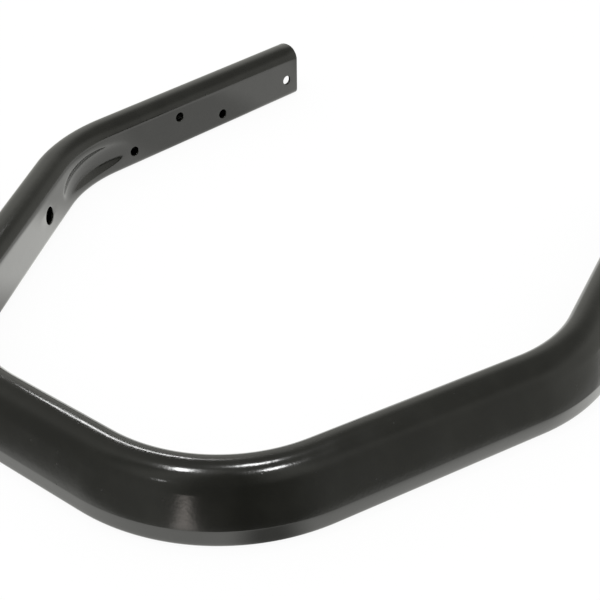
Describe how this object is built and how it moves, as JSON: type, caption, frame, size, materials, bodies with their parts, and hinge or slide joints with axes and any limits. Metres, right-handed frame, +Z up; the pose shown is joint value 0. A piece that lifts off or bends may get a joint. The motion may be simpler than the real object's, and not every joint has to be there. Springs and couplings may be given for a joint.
{
  "type": "snowmobile front bumper",
  "caption": "Hoop-shaped front bumper of bent hollow tube with converging arms, a flat drilled inner face and a slanted outer face.",
  "frame": {"origin": "middle of the hoop's plan box, on the plane it lies on", "axes": "+X to the machine's left, along the front bar; +Y rearward along the arms; +Z up from the lying face"},
  "size_m": [0.543, 0.5624, 0.0508],
  "materials": {
    "tube_coat": "gloss black powder coat with light orange peel"
  },
  "bodies": {
    "root": {"bumper_tube": "tube_coat"}
  },
  "joints": []
}
